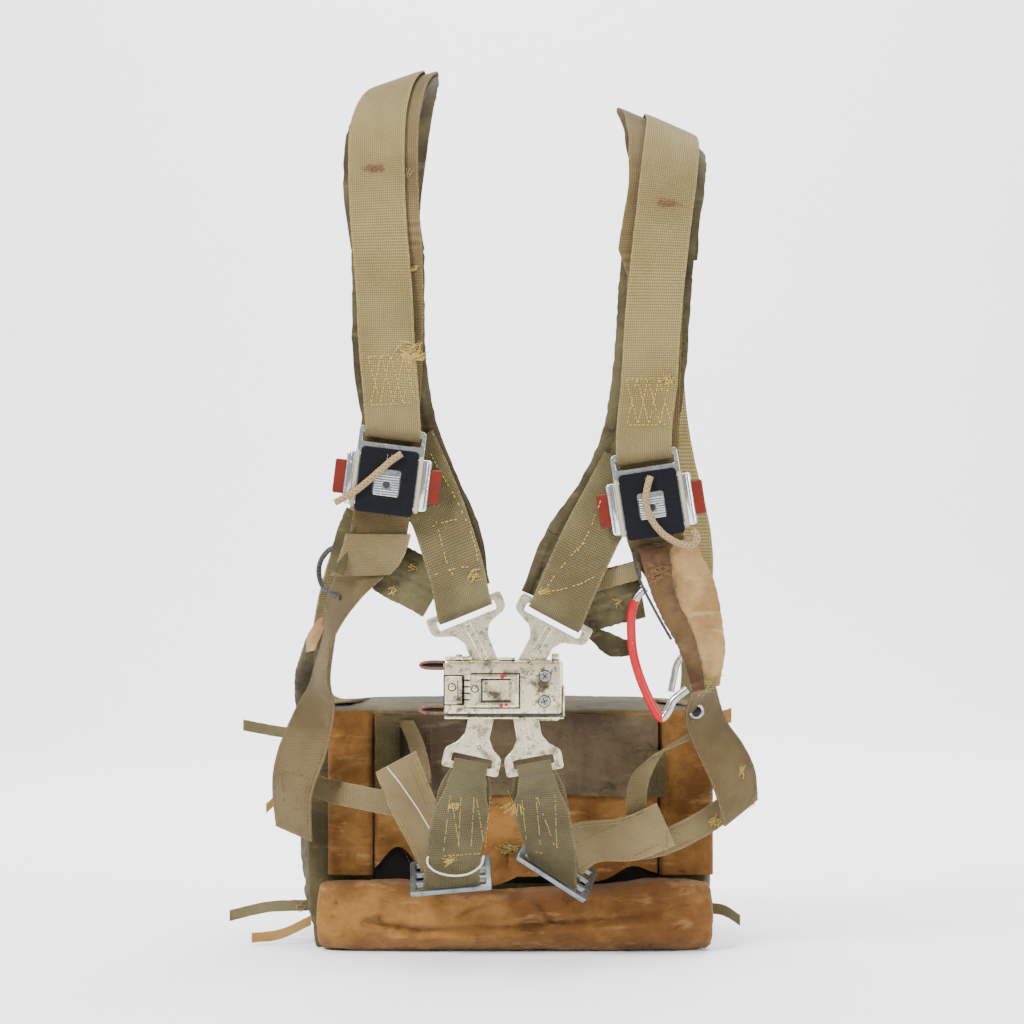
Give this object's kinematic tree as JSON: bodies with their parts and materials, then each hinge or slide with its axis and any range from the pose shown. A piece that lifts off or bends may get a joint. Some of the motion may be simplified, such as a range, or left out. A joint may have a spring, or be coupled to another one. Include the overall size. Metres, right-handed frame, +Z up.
{
  "type": "packed parachute",
  "caption": "Seat-type packed parachute in a canvas pack, with its worn-shape harness, lock, releases, leg straps and grip.",
  "frame": {"origin": "on the pack's flat underside, under the pack's middle", "axes": "+Z up, -Y the harness's front, +X the wearer's left"},
  "size_m": [0.4268, 0.3365, 0.7027],
  "materials": {
    "canvas": "worn, dusty cotton canvas",
    "olive_cloth": "matt olive canvas",
    "satin": "soft brown-green cloth with a slight sheen",
    "webbing": "greyed olive webbing, worn at the edges",
    "olive_webbing": "darker olive webbing",
    "padding": "creased olive padding cloth",
    "pocket_cloth": "stained light canvas",
    "cast_metal": "worn plated metal with grime",
    "steel": "grey steel",
    "chrome": "bright plate",
    "black_shell": "black shell, slightly worn",
    "red_paint": "red paint, chipped",
    "cord": "braided tan cord"
  },
  "bodies": {
    "harness": {"adaptor_left": "steel", "adaptor_right": "steel", "chest_web_left": "olive_webbing", "chest_web_right": "olive_webbing", "cover_band": "canvas", "cover_left": "canvas", "cover_middle": "canvas", "cover_right": "canvas", "grip_gate": "steel", "grip_right": "red_paint", "hanging_flap": "satin", "keeper_left": "olive_webbing", "leg_arc_left": "olive_webbing", "leg_arc_right": "olive_webbing", "leg_band_left": "olive_webbing", "leg_band_right": "olive_webbing", "leg_strap_left": "olive_webbing", "leg_strap_right": "olive_webbing", "lock_body": "cast_metal", "lock_pin_lower": "steel", "lock_pin_upper": "steel", "lock_screw_lower": "steel", "lock_screw_upper": "steel", "lug_lower_left": "cast_metal", "lug_lower_right": "cast_metal", "lug_upper_left": "cast_metal", "lug_upper_right": "cast_metal", "main_web_left": "webbing", "main_web_right": "webbing", "pack_body": "olive_cloth", "pocket_right": "pocket_cloth", "quilt_left": "padding", "quilt_right": "padding", "release_left_body": "chrome", "release_left_cord": "cord", "release_left_cover": "black_shell", "release_left_yoke": "chrome", "release_right_body": "chrome", "release_right_cord": "cord", "release_right_cover": "black_shell", "release_right_yoke": "chrome", "riser_left": "webbing", "riser_right": "webbing", "shoulder_pad_left": "padding", "shoulder_pad_right": "padding", "tab_left": "olive_webbing", "tab_right": "olive_webbing", "tie_left_foot": "canvas", "tie_left_lower": "olive_webbing", "tie_left_middle": "canvas", "tie_left_upper": "olive_webbing", "tie_right_lower": "olive_webbing", "tie_right_upper": "canvas"},
    "left_outer_button": {"release_left_button_outer": "red_paint"},
    "left_inner_button": {"release_left_button_inner": "red_paint"},
    "left_safety_slider": {"release_left_slider": "chrome"},
    "right_inner_button": {"release_right_button_inner": "red_paint"},
    "right_outer_button": {"release_right_button_outer": "red_paint"},
    "right_safety_slider": {"release_right_slider": "chrome"},
    "lock_lever": {"lock_lever": "cast_metal"}
  },
  "joints": [
    {"name": "left_outer_button_press", "type": "slide", "parent": "harness", "child": "left_outer_button", "axis": [0.9925, 0, -0.1219], "range_m": [0, 0.003], "stiffness_N_per_m": 500, "springref_m": -0.001},
    {"name": "left_inner_button_press", "type": "slide", "parent": "harness", "child": "left_inner_button", "axis": [-0.9925, 0, 0.1219], "range_m": [0, 0.003], "stiffness_N_per_m": 500, "springref_m": -0.001},
    {"name": "left_safety_slider_slide", "type": "slide", "parent": "harness", "child": "left_safety_slider", "axis": [0.1219, 0, 0.9925], "range_m": [0, 0.0035]},
    {"name": "right_inner_button_press", "type": "slide", "parent": "harness", "child": "right_inner_button", "axis": [0.9885, 0, 0.1513], "range_m": [0, 0.003], "stiffness_N_per_m": 500, "springref_m": -0.001},
    {"name": "right_outer_button_press", "type": "slide", "parent": "harness", "child": "right_outer_button", "axis": [-0.9885, 0, -0.1513], "range_m": [0, 0.003], "stiffness_N_per_m": 500, "springref_m": -0.001},
    {"name": "right_safety_slider_slide", "type": "slide", "parent": "harness", "child": "right_safety_slider", "axis": [-0.1513, 0, 0.9885], "range_m": [0, 0.0035]},
    {"name": "lock_lever_hinge", "type": "hinge", "parent": "harness", "child": "lock_lever", "pos_m": [-0.03, -0.2505, 0.217], "axis": [0, 0, -1], "range_deg": [0, 75]}
  ]
}
